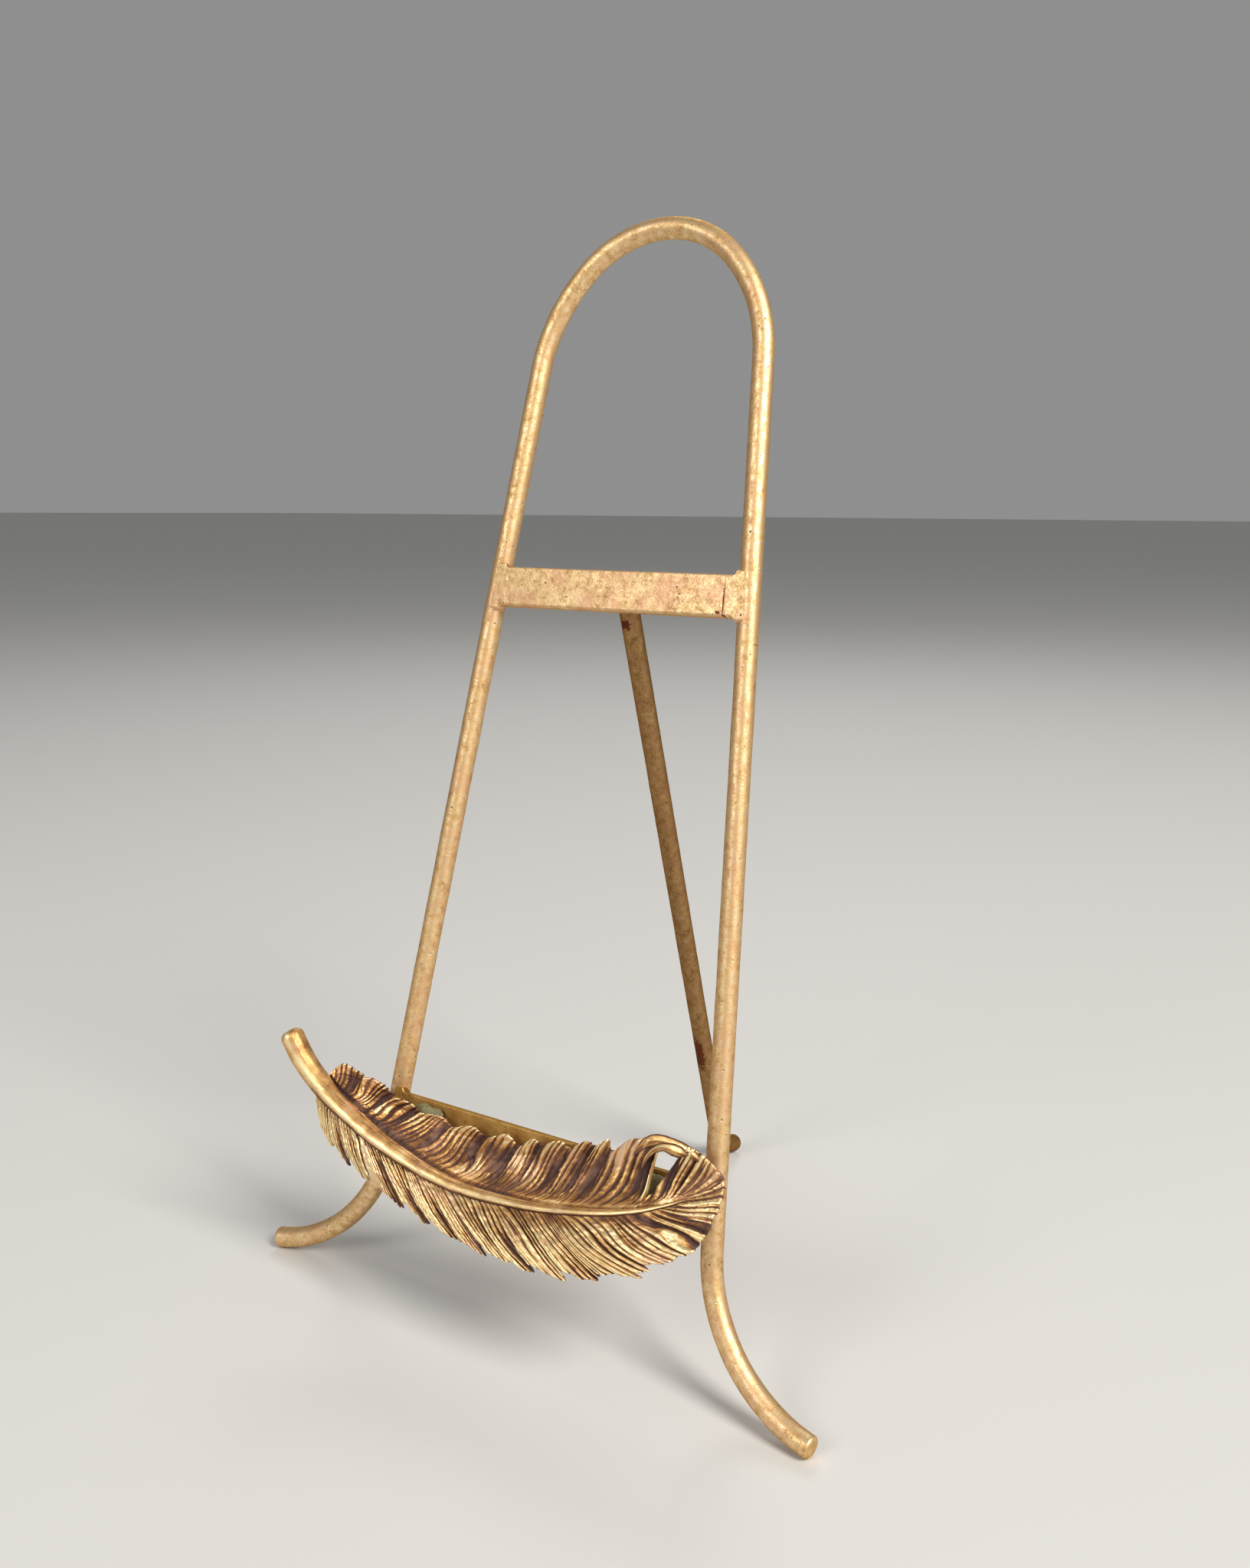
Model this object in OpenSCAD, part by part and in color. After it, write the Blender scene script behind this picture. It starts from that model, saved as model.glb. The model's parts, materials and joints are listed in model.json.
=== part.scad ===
// Display easel: a bent round-bar frame with two flat crossbars, a hinged rear leg,
// and a cast feather whose quill and upper vane make the ledge.
// Millimetres, +Z up. The origin is on the floor in the middle of the footprint,
// the front is toward -Y and X runs across the legs.

/* [Bar stock] */
// Diameter of the round bar of the frame and the rear leg
rod_d = 6; // [5:0.5:7]
// Height of both flat crossbars
bar_h = 11.5; // [10:0.5:13]
// Thickness of both flat crossbars
bar_t = 3; // [2.5:0.5:3]

/* [Frame] */
// Distance between the leg centrelines, carried down to the floor
leg_spread = 117; // [115:1:120]
// Angle by which each leg leans inward as it rises
splay = 4.6; // [4.4:0.1:4.8]
// Angle by which the frame leans back from upright
lean = 13.5; // [12:0.5:15]
// Distance up the frame at which the legs run into the arch
arch_start = 275; // [270:1:280]
// Bend radius of the arch's shoulders
shoulder_r = 46; // [44:1:48]
// Distance up the frame to the middle of the upper crossbar
upper_bar_up = 210; // [205:1:215]
// Distance up the frame to the middle of the lower crossbar
lower_bar_up = 51; // [50:0.5:52]
// Radius of the dressed weld fillets beside the crossbar ends
weld_fillet = 1.2; // [0.8:0.1:1.6]

/* [Front feet] */
// Bend radius of the front feet
foot_r = 41.4; // [38:0.2:43]
// Angle through which each front foot is bent outward
foot_turn = 77.8; // [74:0.2:80]
// Angle by which the front feet are turned toward the front
foot_forward = 7.8; // [0:0.2:10]

/* [Rear leg and hinge] */
// Angle between the frame and the open rear leg
open_angle = 31.8; // [30:0.1:33]
// Distance up the frame to the hinge pin
pivot_up = 209; // [208:0.5:210]
// Distance of the hinge pin behind the middle plane of the frame
pivot_back = 6; // [5.8:0.1:6.4]
// Length of the rear leg above the hinge pin, which stops against the bracket
leg_stop = 3.6; // [3:0.1:3.7]
// Bend radius of the rear foot
rear_foot_r = 19.8; // [18:0.2:22]
// Angle through which the rear foot is bent backward
rear_foot_turn = 58; // [52:1:62]
// Diameter of the hinge pin
pin_d = 2.5; // [2:0.1:2.6]

/* [Feather] */
// Radius of the quill at its free end
quill_r = 3.4; // [3:0.1:3.6]
// Thickness of the vanes
vane_t = 1.4; // [1.2:0.1:1.6]
// Depth of the splits between the barb clumps, as a share of the vane's width
split_depth = 0.1; // [0:0.02:0.16]

/* [Hidden] */
$fn = 64;

rod_r = rod_d / 2;
gold = "darkgoldenrod";

// The frame's own plane: x across, y up along the frame, z out of its front.
// It meets the floor on the line y = frame_y.
frame_y = -56.4;

// Half the distance between the leg centrelines, at a distance up the frame
function leg_x(up) = leg_spread / 2 - up * tan(splay);

// The arch: a shoulder arc on each side, then one crown arc that closes over the middle
shoulder_end = 45;
shoulder_x = leg_x(arch_start) - shoulder_r * cos(splay);
shoulder_y = arch_start - shoulder_r * sin(splay);
crown_r = shoulder_r + shoulder_x / cos(shoulder_end);
crown_y = shoulder_y + (shoulder_r - crown_r) * sin(shoulder_end);

// How much thinner the bar is drawn in its tight bends, and how far they lap into the next bar
bend_draw = 0.03;
bend_lap = 0.5;

// The front feet: how far the bend comes down, and so where it has to start
out_z = cos(foot_forward) * sin(splay) * cos(lean) + sin(foot_forward) * sin(lean);
foot_drop = foot_r * (sin(foot_turn) * cos(splay) * cos(lean) - (1 - cos(foot_turn)) * out_z);
foot_slope = asin(cos(foot_turn) * cos(splay) * cos(lean) - sin(foot_turn) * out_z);
foot_start = (foot_drop + (rod_r - bend_draw) * cos(foot_slope)) / cos(lean);
leg_length = (arch_start - foot_start) / cos(splay);

// The rear leg: angles from upright, and the straight length from the pin to the foot bend
rear_lean = open_angle - lean;
rear_end = rear_lean + rear_foot_turn;
pivot_z = pivot_up * cos(lean) - pivot_back * sin(lean);
rear_straight = (pivot_z - rod_r * sin(rear_end)
    - rear_foot_r * (sin(rear_end) - sin(rear_lean))) / cos(rear_lean);
end_chamfer = 0.6;

// The weld metal ends this far before the leg's foremost line
weld_gap = 0.8;

// The hinge: a sheet clevis, a riveted pin and a running fit in the leg
sheet_t = 1.2;
ear_gap = rod_d + 0.6;
ear_r = 3.6;
bracket_w = ear_gap + 2 * sheet_t;
bracket_h = 10.5;
pin_fit = 0.05;
rivet_head_r = 2.3;
rivet_head_h = 0.9;

// The feather's three lines, from the quill's free end to the tip, measured from the line
// where the frame meets the floor
quill_line = [[-77, -7, 75], [-71.5, -7.5, 65], [-64.5, -8, 60.2], [-57, -8, 56.4], [-40, -8.5, 49.7],
    [-17, -9, 44.8], [8, -9, 45.8], [27, -8.5, 49.2], [40, -7, 52.4], [49, -4.5, 55.6], [56, -1.5, 58.6],
    [63, 1.5, 61]];
upper_edge = [[-74, -7, 76.5], [-69, -6.8, 67], [-66, -3.5, 64.5], [-59, -1, 66.6], [-38, 6, 55.6],
    [-12, 7.3, 54], [15, 6.5, 59.5], [32, 6, 65.5], [46, 6, 68], [55.5, 5.5, 66.4], [61.5, 4.5, 63],
    [64, 2.4, 61.6]];
lower_edge = [[-80, -7, 73.6], [-74, -7.8, 63.4], [-67, -9, 56.4], [-60.5, -11, 44.3], [-31, -14, 35],
    [-1, -17, 32], [26, -17.5, 34.4], [45, -16, 40], [56, -13, 45.8], [62, -8, 50.2], [65, -2.5, 58],
    [64.6, 1, 60.6]];
rings = 66;
barb_clumps = 11;
quill_tip_r = 0.5;
gutter_dip = 4;
// Where the samples of a section stand: in quill radii near the quill, then as a share of the vane
near_quill = [0.35, 0.65, 0.87, 1, 1.8, 3.2, 99];
along_vane = [0.3, 0.55, 0.74, 0.87, 0.94, 0.98, 1];
samples = len(near_quill);

// Catmull-Rom curve through a list of points: t runs from 0 to the last index
function curve_at(pts, t) =
    let (n = len(pts) - 1, i = min(floor(t), n - 1), f = t - i,
        p0 = pts[max(i - 1, 0)], p1 = pts[i], p2 = pts[i + 1], p3 = pts[min(i + 2, n)])
    0.5 * (2 * p1 + f * (p2 - p0) + f * f * (2 * p0 - 5 * p1 + 4 * p2 - p3)
        + f * f * f * (3 * p1 - p0 - 3 * p2 + p3));

function unit(v) = v / norm(v);

// Point of a vane: a quadratic curve from the quill to the vane's edge, pulled toward the corner
// straight behind or before the quill, so that the upper vane is a gutter as deep as dip
function vane_at(q, edge, share, pull, dip) =
    let (corner = [(q[0] + edge[0]) / 2, edge[1], q[2] - dip],
        middle = (q + edge) / 2,
        c = middle + pull * (corner - middle))
    (1 - share) * (1 - share) * q + 2 * share * (1 - share) * c + share * share * edge;

// Shares of a vane's width at which its section is sampled
function shares(width, r) = [for (k = [0:samples - 1]) min(r * near_quill[k] / width, along_vane[k])];

// One closed section of the feather: front side from the lower edge to the upper, then the back
function section(t) =
    let (q = curve_at(quill_line, t),
        u = curve_at(upper_edge, t),
        l_full = curve_at(lower_edge, t),
        last = len(quill_line) - 1,
        vaned = min(max(t - 2, 0), 1) * min(max(last - t, 0), 1),
        split = vaned * split_depth * (0.5 - 0.5 * cos(360 * barb_clumps * t / last)),
        l = l_full + split * (q - l_full),
        r = quill_r + (quill_tip_r - quill_r) * pow(t / last, 0.75),
        ahead = unit(curve_at(quill_line, min(t + 0.1, last)) - curve_at(quill_line, max(t - 0.1, 0))),
        wu = norm(u - q), wl = norm(l - q),
        su = shares(wu, r), sl = shares(wl, r),
        half = 0.15 + (vane_t / 2 - 0.15) * vaned,
        line = concat(
            [for (k = [samples - 1:-1:0]) [vane_at(q, l, sl[k], 0.3, 0), wl * sl[k]]],
            [[q, 0]],
            [for (k = [0:samples - 1]) [vane_at(q, u, su[k], 0.75, gutter_dip * vaned), wu * su[k]]]),
        n = len(line),
        out = [for (k = [0:n - 1])
            unit(cross(ahead, line[min(k + 1, n - 1)][0] - line[max(k - 1, 0)][0]))],
        bump = [for (k = [0:n - 1]) sqrt(max(0, r * r - line[k][1] * line[k][1]))])
    concat(
        [for (k = [0:n - 1]) line[k][0] + out[k] * (half + bump[k])],
        [for (k = [n - 1:-1:0]) line[k][0] - out[k] * (half + bump[k] * (1 - 0.7 * vaned))]);

// A round bar bent on a circle in the x-y plane: from start to start + turn degrees
module bent_bar(radius, start, turn, r = rod_r) {
    rotate([0, 0, start])
        rotate_extrude(angle = turn)
            translate([radius, 0])
                circle(r = r);
}

// The same for a tight bend, where the bar is drawn a touch thinner; it laps into the bar
// before it, and into the bar after it when after is 1
module drawn_bend(radius, start, turn, after) {
    lap = bend_lap / radius * 180 / PI;
    bent_bar(radius, start - lap, turn + (1 + after) * lap, rod_r - bend_draw);
}

// Puts its children in the frame's own plane
module in_frame() {
    translate([0, frame_y, 0])
        rotate([90 - lean, 0, 0])
            children();
}

// Puts its children on the hinge pin, with y up along the open rear leg
module on_pivot() {
    in_frame()
        translate([0, pivot_up, -pivot_back])
            rotate([open_angle, 0, 0])
                children();
}

// Straight leg on the +x side, from the arch down, with its children on its lower end:
// there x points outward, y to the front and z on down the leg. Placed from the crown's centre.
module leg_bar() {
    translate([leg_x(arch_start), arch_start - crown_y, 0])
        rotate([90, 0, splay]) {
            cylinder(r = rod_r, h = leg_length);
            translate([0, 0, leg_length])
                children();
        }
}

// Half of the bent bar, on the +x side: half the crown, shoulder, leg and foot
module half_arch() {
    bent_bar(crown_r, shoulder_end, 90 - shoulder_end);
    translate([shoulder_x, shoulder_y - crown_y, 0])
        drawn_bend(shoulder_r, splay, shoulder_end - splay, 1);
    leg_bar()
        rotate([0, 0, foot_forward])
            rotate([-90, 0, 0])
                translate([foot_r, 0, 0])
                    drawn_bend(foot_r, 180, foot_turn, 0);
}

module arch_rod() {
    color(gold)
        in_frame()
            translate([0, crown_y, 0]) {
                half_arch();
                mirror([1, 0, 0])
                    half_arch();
            }
}

// End of a crossbar, short of the leg by one weld fillet
function bar_end(up) = leg_x(up) - rod_r - weld_fillet;

module crossbar(up) {
    in_frame()
        translate([-bar_end(up), up - bar_h / 2, 0])
            cube([2 * bar_end(up), bar_h, bar_t]);
}

module upper_crossbar() {
    color(gold)
        crossbar(upper_bar_up);
}

module lower_crossbar() {
    color(gold)
        crossbar(lower_bar_up);
}

// Weld metal between a crossbar's end and the leg on the +x side, dressed flush with both,
// with a fillet above and below
module weld(up) {
    height = bar_h + 2 * weld_fillet;
    difference() {
        linear_extrude(bar_t)
            difference() {
                translate([bar_end(up), up - height / 2])
                    square([leg_x(up) - weld_gap - bar_end(up), height]);
                for (end = [-1, 1])
                    translate([bar_end(up), up + end * height / 2])
                        circle(r = weld_fillet);
            }
        translate([0, crown_y, 0])
            leg_bar();
    }
}

module weld_upper_left() {
    color(gold)
        in_frame()
            mirror([1, 0, 0])
                weld(upper_bar_up);
}

module weld_upper_right() {
    color(gold)
        in_frame()
            weld(upper_bar_up);
}

module weld_lower_left() {
    color(gold)
        in_frame()
            mirror([1, 0, 0])
                weld(lower_bar_up);
}

module weld_lower_right() {
    color(gold)
        in_frame()
            weld(lower_bar_up);
}

// One ear of the hinge bracket, lying in the x-y plane with the crossbar's back on x = 0
module ear() {
    linear_extrude(sheet_t)
        difference() {
            union() {
                translate([0, -ear_r])
                    square([pivot_back, 2 * ear_r]);
                translate([pivot_back, 0])
                    circle(r = ear_r);
            }
            translate([pivot_back, 0])
                circle(r = pin_d / 2 + pin_fit / 2);
        }
}

module hinge_bracket() {
    color(gold)
        in_frame() {
            translate([-bracket_w / 2, upper_bar_up - bracket_h / 2, -sheet_t])
                cube([bracket_w, bracket_h, sheet_t]);
            for (ear_x = [-bracket_w / 2, ear_gap / 2])
                translate([ear_x, pivot_up, 0])
                    rotate([0, 90, 0])
                        ear();
        }
}

module hinge_pin() {
    color("peru")
        on_pivot()
            rotate([0, 90, 0]) {
                cylinder(d = pin_d, h = bracket_w, center = true);
                for (end = [-1, 1])
                    translate([0, 0, end * (bracket_w + rivet_head_h) / 2])
                        cylinder(r = rivet_head_r, h = rivet_head_h, center = true);
            }
}

module rear_leg() {
    color(gold)
        on_pivot()
            difference() {
                union() {
                    translate([0, leg_stop, 0])
                        rotate([90, 0, 0]) {
                            cylinder(r1 = rod_r - end_chamfer, r2 = rod_r, h = end_chamfer);
                            translate([0, 0, end_chamfer])
                                cylinder(r = rod_r, h = leg_stop + rear_straight - end_chamfer);
                        }
                    translate([0, -rear_straight, -rear_foot_r])
                        rotate([0, 90, 0])
                            bent_bar(rear_foot_r, 180, rear_foot_turn);
                }
                rotate([0, 90, 0])
                    cylinder(r = pin_d / 2 + pin_fit, h = rod_d + 1, center = true);
            }
}

// The casting: quill and vanes as one closed skin of sections, with a cap on each end
module feather() {
    last = len(quill_line) - 1;
    loops = [for (i = [0:rings]) section(last * i / rings)];
    n = len(loops[0]);
    points = concat([for (loop = loops) each loop], [curve_at(quill_line, 0), curve_at(quill_line, last)]);
    skin = [for (i = [0:rings - 1]) for (k = [0:n - 1])
        let (a = i * n + k, b = i * n + (k + 1) % n) each [[a, b + n, a + n], [a, b, b + n]]];
    start_cap = [for (k = [0:n - 1]) [(rings + 1) * n, (k + 1) % n, k]];
    end_cap = [for (k = [0:n - 1]) [(rings + 1) * n + 1, rings * n + k, rings * n + (k + 1) % n]];
    color("goldenrod")
        translate([0, frame_y, 0])
            polyhedron(points = points, faces = concat(skin, start_cap, end_cap));
}

// A pad of set adhesive on the lower crossbar's front, thicker toward its foot
module feather_pad() {
    pad_x = 34;
    pad_w = 10;
    low = lower_bar_up - 4.5;
    high = lower_bar_up + 4.5;
    in_frame()
        translate([pad_x, 0, 0])
            rotate([0, -90, 180])
                mirror([0, 1, 0])
                    linear_extrude(pad_w)
                        polygon([[bar_t, low], [bar_t, high], [5.8, high], [8, low]]);
}

module feather_pad_right() {
    color("gray")
        feather_pad();
}

module feather_pad_left() {
    color("gray")
        mirror([1, 0, 0])
            feather_pad();
}

arch_rod();
upper_crossbar();
lower_crossbar();
weld_upper_left();
weld_upper_right();
weld_lower_left();
weld_lower_right();
hinge_bracket();
hinge_pin();
rear_leg();
feather();
feather_pad_left();
feather_pad_right();
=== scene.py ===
# Display easel: bent gold bar, two welded straps, a hinged rear leg and a cast feather ledge.
import bpy
import json
import math
import numpy as np
from mathutils import Matrix, Vector


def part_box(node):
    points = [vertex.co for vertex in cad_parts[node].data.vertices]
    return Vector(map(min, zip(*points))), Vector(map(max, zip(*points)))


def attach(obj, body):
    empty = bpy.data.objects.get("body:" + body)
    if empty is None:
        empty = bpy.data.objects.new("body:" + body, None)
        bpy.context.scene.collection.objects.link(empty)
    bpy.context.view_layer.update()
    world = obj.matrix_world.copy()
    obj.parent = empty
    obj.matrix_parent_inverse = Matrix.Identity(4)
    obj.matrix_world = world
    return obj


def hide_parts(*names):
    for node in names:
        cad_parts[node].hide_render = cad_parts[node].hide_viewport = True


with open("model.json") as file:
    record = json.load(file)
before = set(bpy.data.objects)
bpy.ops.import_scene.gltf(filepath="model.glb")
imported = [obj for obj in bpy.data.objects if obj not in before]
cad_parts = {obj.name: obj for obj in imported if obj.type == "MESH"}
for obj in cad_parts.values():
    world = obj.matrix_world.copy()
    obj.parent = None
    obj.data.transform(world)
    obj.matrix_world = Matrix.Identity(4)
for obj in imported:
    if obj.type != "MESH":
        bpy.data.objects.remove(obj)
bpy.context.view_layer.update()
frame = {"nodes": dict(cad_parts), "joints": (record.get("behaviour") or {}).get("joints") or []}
mm = 0.001
tau = 2 * math.pi
stock = bpy.data.collections.new("easel")
bpy.context.scene.collection.children.link(stock)


# The middle of a CAD node's box.
def boxMiddle(node):
    low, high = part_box(node)
    return np.array((low + high) / 2)


# Both straps lie in the frame's plane, so the line between their middles runs up the frame.
upperMiddle, lowerMiddle = boxMiddle("upper_crossbar"), boxMiddle("lower_crossbar")
upAxis = (upperMiddle - lowerMiddle) / np.linalg.norm(upperMiddle - lowerMiddle)
outAxis = np.array([0.0, -upAxis[2], upAxis[1]])
strapSize = {"height": 11.5 * mm, "thick": 3 * mm}
onPlane = lowerMiddle - outAxis * strapSize["thick"] / 2
lowerUp = onPlane[2] / upAxis[2]
frameFoot = onPlane - upAxis * lowerUp          # where the frame's plane meets the floor
upperUp = lowerUp + np.linalg.norm(upperMiddle - lowerMiddle)


# Points in the frame's plane to points in the room: across, up the frame, out of its front.
def toRoom(plane):
    plane = np.asarray(plane, float)
    return (frameFoot + plane[..., 0:1] * np.array([1.0, 0, 0])
            + plane[..., 1:2] * upAxis + plane[..., 2:3] * outAxis)


# Catmull-Rom curve through the points: t runs from 0 to the last index.
def curveAt(points, t):
    points, t = np.asarray(points, float), np.asarray(t, float)
    last = len(points) - 1
    i = np.clip(np.floor(t).astype(int), 0, last - 1)
    f = (t - i)[..., None]
    a, b = points[np.maximum(i - 1, 0)], points[i]
    c, d = points[i + 1], points[np.minimum(i + 2, last)]
    return 0.5 * (2 * b + f * (c - a) + f**2 * (2 * a - 5 * b + 4 * c - d)
                  + f**3 * (3 * b - a - 3 * c + d))


# Rises from 0 at low to 1 at high, as 3f^2 - 2f^3.
def smooth(low, high, x):
    f = np.clip((np.asarray(x, float) - low) / (high - low), 0, 1)
    return f * f * (3 - 2 * f)


# Each vector over its own length.
def unit(v):
    return v / np.maximum(np.linalg.norm(v, axis=-1, keepdims=True), 1e-12)


# Soft bumps over two parameters: a sum of sine waves in random directions, mostly
# within 1.5 of zero.
def ripple(x, y, seed, waves=9, spread=2.2):
    draw = np.random.default_rng(seed)
    total = np.zeros(np.broadcast(x, y).shape)
    for _ in range(waves):
        turn, size = draw.uniform(0, tau), spread ** draw.uniform(-1, 1)
        phase = draw.uniform(0, tau)
        total += np.sin(tau * size * (x * math.cos(turn) + y * math.sin(turn)) + phase)
    return total / math.sqrt(waves)


# One random value for each whole number, held flat between them.
def perCell(cell, seed, low=0.0, high=1.0):
    draw = np.random.default_rng(seed)
    table = draw.uniform(low, high, 4096)
    return table[np.floor(cell).astype(int) % 4096]


# A mesh from a grid of rings. Each ring is closed, and each end is closed by a fan round the
# middle of its ring. Attributes hold a value for each point of the grid.
def skinMesh(name, rings, attributes=None):
    count, around = rings.shape[:2]
    points = rings.reshape(-1, 3)
    i, j = np.meshgrid(np.arange(count - 1), np.arange(around), indexing="ij")
    k = (j + 1) % around
    quads = np.stack([i * around + j, (i + 1) * around + j,
                      (i + 1) * around + k, i * around + k], -1).reshape(-1, 4)
    ring = np.arange(around)
    nextOne = (ring + 1) % around
    base = (count - 1) * around
    first, last = len(points), len(points) + 1
    start = np.stack([np.full(around, first), ring, nextOne], -1)
    end = np.stack([np.full(around, last), base + nextOne, base + ring], -1)
    points = np.concatenate([points, np.stack([rings[0].mean(0), rings[-1].mean(0)])])
    loops = np.concatenate([quads.ravel(), start.ravel(), end.ravel()])
    sizes = np.concatenate([np.full(len(quads), 4), np.full(2 * around, 3)])
    mesh = bpy.data.meshes.new(name)
    mesh.vertices.add(len(points))
    mesh.vertices.foreach_set("co", points.astype(np.float32).ravel())
    mesh.loops.add(len(loops))
    mesh.loops.foreach_set("vertex_index", loops.astype(np.int32))
    mesh.polygons.add(len(sizes))
    mesh.polygons.foreach_set("loop_start", (np.cumsum(sizes) - sizes).astype(np.int32))
    mesh.polygons.foreach_set("use_smooth", np.ones(len(sizes), bool))
    mesh.update(calc_edges=True)
    mesh.validate()
    for key, values in (attributes or {}).items():
        flat = np.asarray(values, float).reshape(-1)
        flat = np.concatenate([flat, np.full(2, flat.mean())])      # the two fan middles
        layer = mesh.attributes.new(key, "FLOAT", "POINT")
        layer.data.foreach_set("value", flat.astype(np.float32))
    return mesh


# Puts a mesh in the scene as a piece: its finish, the body it rides on and the CAD nodes it
# replaces.
def addPiece(name, mesh, material, body, nodes=()):
    piece = bpy.data.objects.new(name, mesh)
    stock.objects.link(piece)
    mesh.materials.append(material)
    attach(piece, body)
    if nodes:
        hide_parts(*nodes)
    print("made", name, len(mesh.polygons), "faces")
    return piece


# A round section carried along a path. Sideways and outward are square to the path, with
# outward as near as possible to the direction given.
def sweep(path, radius, around, outward, dent=None):
    tangent = unit(np.gradient(path, axis=0))
    side = unit(np.cross(tangent, np.broadcast_to(outward, path.shape)))
    out = np.cross(side, tangent)
    angle = np.arange(around) / around * tau
    reach = np.broadcast_to(np.asarray(radius, float).reshape(-1, 1), (len(path), around))
    if dent is not None:
        reach = reach + dent
    spoke = np.cos(angle)[None, :, None] * side[:, None] + np.sin(angle)[None, :, None] * out[:, None]
    return path[:, None] + reach[..., None] * spoke


# Distance along a path.
def along(path):
    step = np.linalg.norm(np.diff(path, axis=0), axis=1)
    return np.concatenate([[0], np.cumsum(step)])


# The same path with stations at the distances given.
def restation(path, distances):
    length = along(path)
    return np.stack([np.interp(distances, length, path[:, k]) for k in range(3)], -1)


# Radius that falls off over the last stretch of each end, as a rounded edge.
def roundedEnds(distances, radius, edge):
    total = distances[-1]
    near = np.minimum(distances, total - distances)
    inside = np.clip(1 - near / edge, 0, 1)
    return radius - edge * (1 - np.sqrt(1 - inside**2))


# Stations that crowd into the rounded ends.
def stations(total, step, edge):
    quarter = edge * (1 - np.cos(np.linspace(0, tau / 4, 6)))
    middle = np.linspace(edge, total - edge, max(4, int((total - 2 * edge) / step)))
    return np.concatenate([quarter[:-1], middle, total - quarter[:-1][::-1]])


# A new material with its tree and its shader.
def newMaterial(name):
    material = bpy.data.materials.new(name)
    material.use_nodes = True
    tree = material.node_tree
    return material, tree, tree.nodes["Principled BSDF"]


# A node with its settings, each input linked to a socket or set to a value.
def addNode(tree, kind, inputs=None, **settings):
    node = tree.nodes.new(kind)
    for key, value in settings.items():
        setattr(node, key, value)
    for key, value in (inputs or {}).items():
        if isinstance(value, bpy.types.NodeSocket):
            tree.links.new(value, node.inputs[key])
        else:
            node.inputs[key].default_value = value
    return node


# Colours between stops along a value.
def ramp(tree, value, stops):
    node = addNode(tree, "ShaderNodeValToRGB", {"Fac": value})
    line = node.color_ramp
    while len(line.elements) < len(stops):
        line.elements.new(0.5)
    for element, (position, colour) in zip(line.elements, stops):
        element.position = position
        element.color = (*colour, 1)
    return node.outputs["Color"]


# Cloudy noise from 0 to 1, its scale in clouds to a unit of place.
def noise(tree, place, scale, detail=4.0, roughness=0.55):
    node = addNode(tree, "ShaderNodeTexNoise",
                   {"Vector": place, "Scale": scale, "Detail": detail, "Roughness": roughness})
    return node.outputs["Fac"]


# Colour a turned into b by the share, or blended with it another way.
def blendColour(tree, share, a, b, way="MIX"):
    node = tree.nodes.new("ShaderNodeMix")
    node.data_type, node.blend_type = "RGBA", way
    for socket, value in ((node.inputs[0], share), (node.inputs[6], a), (node.inputs[7], b)):
        if isinstance(value, bpy.types.NodeSocket):
            tree.links.new(value, socket)
        else:
            socket.default_value = (*value, 1) if isinstance(value, tuple) else value
    return node.outputs[2]


# One operation on two values.
def sums(tree, operation, a, b):
    return addNode(tree, "ShaderNodeMath", {0: a, 1: b}, operation=operation).outputs[0]


# Two values added by weight: a times its share and b times its share.
def weigh(tree, a, shareA, b, shareB):
    return sums(tree, "ADD", sums(tree, "MULTIPLY", a, shareA), sums(tree, "MULTIPLY", b, shareB))


# A value pushed up and down by noise: the noise less a half, times the amount, added to it.
def jostle(tree, value, cloud, amount):
    return sums(tree, "ADD", value, sums(tree, "MULTIPLY", sums(tree, "SUBTRACT", cloud, 0.5), amount))


# A value carried smoothly from one range to another.
def spread(tree, value, low, high, to0=0.0, to1=1.0):
    node = addNode(tree, "ShaderNodeMapRange",
                   {"Value": value, "From Min": low, "From Max": high, "To Min": to0, "To Max": to1},
                   interpolation_type="SMOOTHSTEP")
    return node.outputs["Result"]


# Fine relief on the shader's normal, from a height.
def addGrain(tree, shader, height, depth, strength):
    bump = addNode(tree, "ShaderNodeBump", {"Height": height, "Distance": depth, "Strength": strength})
    tree.links.new(bump.outputs["Normal"], shader.inputs["Normal"])


goldBarLook = {
    "bright": (0.93, 0.69, 0.39),      # fresh gold paint
    "middle": (0.70, 0.455, 0.205),
    "olive": (0.34, 0.20, 0.075),      # thin paint, glazed
    "copper": (0.76, 0.44, 0.27),      # pinkish patches
    "pit": (0.10, 0.055, 0.022),
    "rust": (0.16, 0.042, 0.014),
    "rustLight": (0.33, 0.11, 0.04),
    "edge": (0.42, 0.27, 0.12),        # what the metal turns to where it's seen edge on
    "sparkle": 1.12,                   # how far the brightest flecks outshine the bright paint
    "broadScale": 150,                 # scales are in clouds to a metre
    "patchScale": 420,
    "fleckScale": 1700,
    "pitScale": 560.0,
    "pitClusterScale": 210,
    "rustScale": 1300,
    "rustGrainScale": 2600,
    "roughness": (0.40, 0.62),
    "metallic": 0.96,
    "grainDepth": 0.00010,
}
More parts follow.
